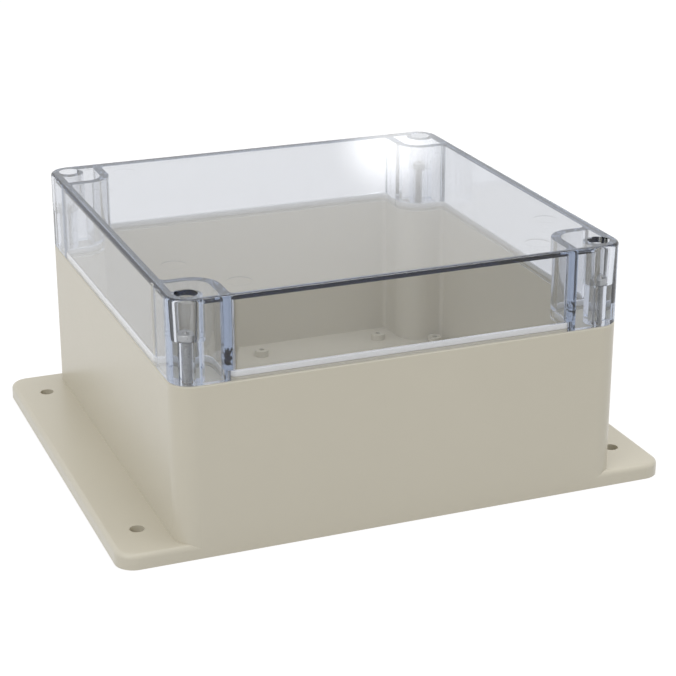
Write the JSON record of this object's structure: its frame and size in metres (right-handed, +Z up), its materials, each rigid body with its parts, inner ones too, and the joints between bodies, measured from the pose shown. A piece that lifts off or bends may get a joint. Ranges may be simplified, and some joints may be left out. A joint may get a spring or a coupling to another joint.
{
  "type": "electrical distribution box",
  "caption": "Screw-lid plastic distribution box with a clear lid, a seal in the lid, and a mounting ear along each side.",
  "frame": {"origin": "centre of the underside", "axes": "+X from ear to ear towards the right-hand ear, +Y to the back, +Z up out of the lid"},
  "size_m": [0.235, 0.192, 0.1051],
  "materials": {
    "base_plastic": "moulded ABS, semi-gloss",
    "lid_plastic": "clear moulded polycarbonate",
    "seal_rubber": "white silicone strip",
    "screw_steel": "plain steel",
    "insert_brass": "turned brass"
  },
  "bodies": {
    "base": {"base_shell": "base_plastic", "threaded_insert_front_left": "insert_brass", "threaded_insert_front_right": "insert_brass", "threaded_insert_rear_left": "insert_brass", "threaded_insert_rear_right": "insert_brass"},
    "lid": {"clear_lid": "lid_plastic", "lid_seal": "seal_rubber"},
    "screw_front_left": {"lid_screw_front_left": "screw_steel"},
    "screw_front_right": {"lid_screw_front_right": "screw_steel"},
    "screw_rear_left": {"lid_screw_rear_left": "screw_steel"},
    "screw_rear_right": {"lid_screw_rear_right": "screw_steel"}
  },
  "joints": [
    {"name": "lid_lift", "type": "slide", "parent": "base", "child": "lid", "axis": [0, 0, 1], "range_m": [0, 0.06]},
    {"name": "screw_front_left_out", "type": "slide", "parent": "lid", "child": "screw_front_left", "axis": [0, 0, 1], "range_m": [0, 0.045]},
    {"name": "screw_front_right_out", "type": "slide", "parent": "lid", "child": "screw_front_right", "axis": [0, 0, 1], "range_m": [0, 0.045]},
    {"name": "screw_rear_left_out", "type": "slide", "parent": "lid", "child": "screw_rear_left", "axis": [0, 0, 1], "range_m": [0, 0.045]},
    {"name": "screw_rear_right_out", "type": "slide", "parent": "lid", "child": "screw_rear_right", "axis": [0, 0, 1], "range_m": [0, 0.045]}
  ]
}
